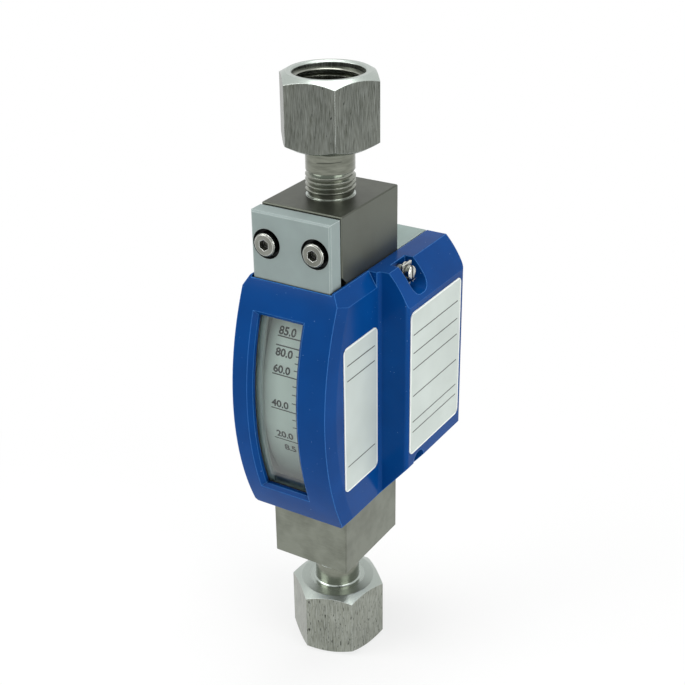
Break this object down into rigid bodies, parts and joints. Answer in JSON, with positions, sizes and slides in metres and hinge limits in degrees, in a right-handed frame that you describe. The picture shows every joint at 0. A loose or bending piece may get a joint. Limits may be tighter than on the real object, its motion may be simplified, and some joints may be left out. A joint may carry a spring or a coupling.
{
  "type": "rotameter",
  "caption": "Small metal variable-area flow meter: steel measuring block with screwed hexagon adaptors and a blue hooded pointer indicator.",
  "frame": {"origin": "on the flow axis, at the end face of the lower adaptor", "axes": "+Z along the flow, upwards; -Y towards the scale window; +X towards the labelled side"},
  "size_m": [0.0547, 0.0672, 0.196],
  "materials": {
    "block_steel": "satin ground stainless steel",
    "adaptor_steel": "turned and brushed stainless steel",
    "screw_steel": "bright stainless steel",
    "seal": "black seal",
    "plate": "light grey anodised",
    "base": "light grey painted casting",
    "hood": "blue gloss powder coat",
    "pane": "clear window pane",
    "carrier": "grey moulded carrier",
    "scale": "printed scale sheet",
    "label": "pale label sheet",
    "float_steel": "turned stainless steel",
    "magnet": "sintered magnet",
    "bearing": "turned brass",
    "pointer": "black pointer",
    "bracket": "plain sheet"
  },
  "bodies": {
    "housing": {"measuring_block": "block_steel", "lower_adaptor": "adaptor_steel", "upper_adaptor": "adaptor_steel", "lower_seal": "seal", "upper_seal": "seal", "lower_stop": "float_steel", "upper_stop": "float_steel", "measuring_cone": "float_steel", "front_plate": "plate", "plate_gasket": "seal", "plate_screw_left": "screw_steel", "plate_screw_right": "screw_steel", "hood": "hood", "window_gasket": "seal", "window_pane": "pane", "large_label": "label", "small_label": "label", "earth_boss": "screw_steel", "earth_washer": "screw_steel", "earth_clamp": "screw_steel", "earth_screw": "screw_steel", "scale_carrier": "carrier", "scale_plate": "scale", "indicator_base": "base", "base_screw_lower": "screw_steel", "base_screw_upper": "screw_steel", "hood_screw_lower_left": "screw_steel", "hood_screw_upper_left": "screw_steel", "hood_screw_lower_right": "screw_steel", "hood_screw_upper_right": "screw_steel", "pivot_bracket": "bracket", "bracket_screw_lower": "screw_steel", "bracket_screw_upper": "screw_steel", "inner_bush": "bearing", "outer_bush": "bearing"},
    "float": {"float_body": "float_steel", "float_magnet": "magnet"},
    "pointer": {"spindle": "screw_steel", "pointer_hub": "bearing", "pointer_arm": "pointer", "follower_magnet": "magnet", "counterweight": "bearing"}
  },
  "joints": [
    {"name": "float_slide", "type": "slide", "parent": "housing", "child": "float", "axis": [0, 0, 1], "range_m": [0, 0.01754]},
    {"name": "pointer_pivot", "type": "hinge", "parent": "housing", "child": "pointer", "pos_m": [0.016, 0.0255, 0.0994], "axis": [-1, 0, 0], "range_deg": [0, 50.98]}
  ],
  "couplings": [
    {"joint": "pointer_pivot", "follows": "float_slide", "rad_per_m": 50.437}
  ]
}
